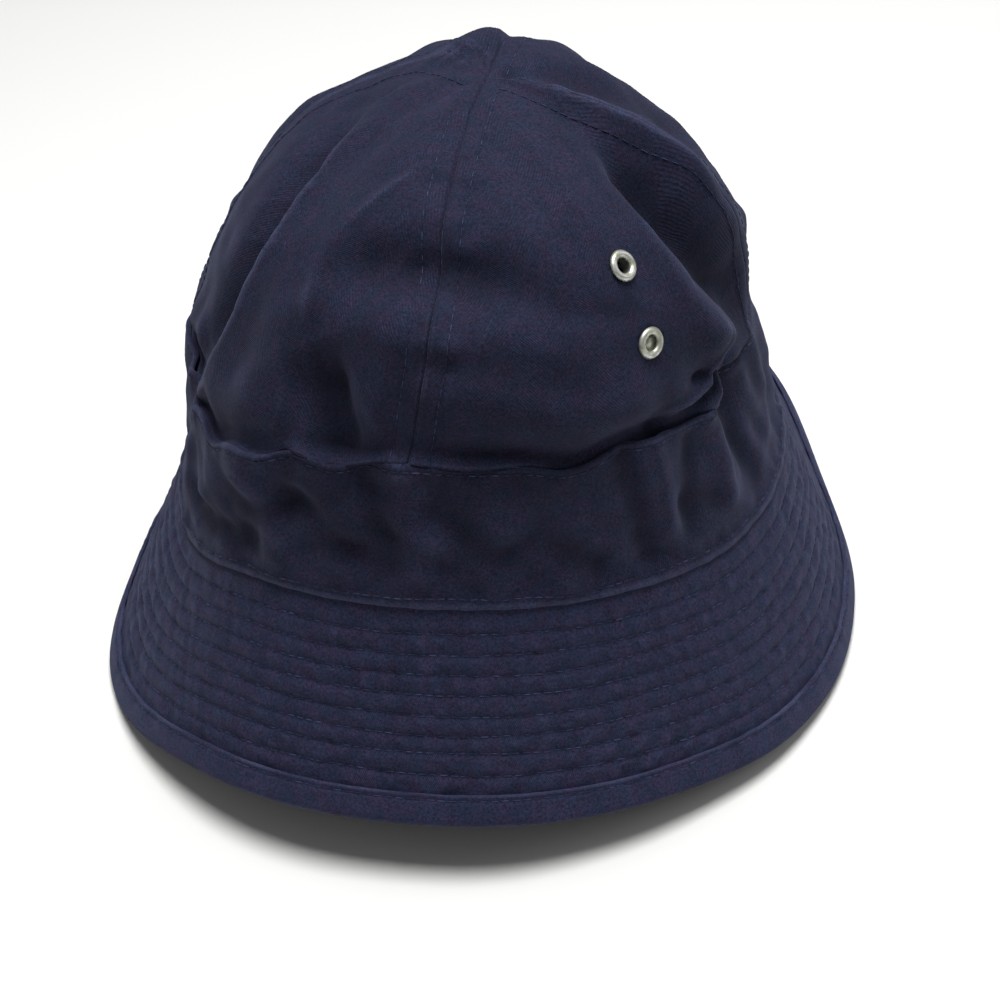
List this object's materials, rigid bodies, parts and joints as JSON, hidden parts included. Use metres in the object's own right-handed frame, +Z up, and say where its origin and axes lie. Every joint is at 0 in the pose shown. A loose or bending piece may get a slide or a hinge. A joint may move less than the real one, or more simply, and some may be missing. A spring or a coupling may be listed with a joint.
{
  "type": "bush hat",
  "caption": "Soft cloth bush hat with a panelled, dented dome crown over a deep plain band, a steep stitched brim with a taped edge, and metal eyelets; hollow, standing on its brim.",
  "frame": {"origin": "on the surface it rests on, under the middle of the brim's box", "axes": "+Z up from the surface to the crown's top; -Y toward the crown's front seam; +X to the right seen from the front"},
  "size_m": [0.2312, 0.2606, 0.1814],
  "materials": {
    "crown_cloth": "washed herringbone twill, matt",
    "band_cloth": "washed herringbone twill, matt",
    "brim_cloth": "washed twill, quilted by rows of stitching, matt",
    "binding_tape": "washed twill tape, matt",
    "eyelet_metal": "dull, greyed"
  },
  "bodies": {
    "root": {"crown_panel_front_left": "crown_cloth", "crown_panel_front_right": "crown_cloth", "crown_panel_back_right": "crown_cloth", "crown_panel_back_left": "crown_cloth", "band": "band_cloth", "brim": "brim_cloth", "rim_binding": "binding_tape", "eyelet_front_upper": "eyelet_metal", "eyelet_front_lower": "eyelet_metal", "eyelet_back_upper": "eyelet_metal", "eyelet_back_lower": "eyelet_metal"}
  },
  "joints": []
}
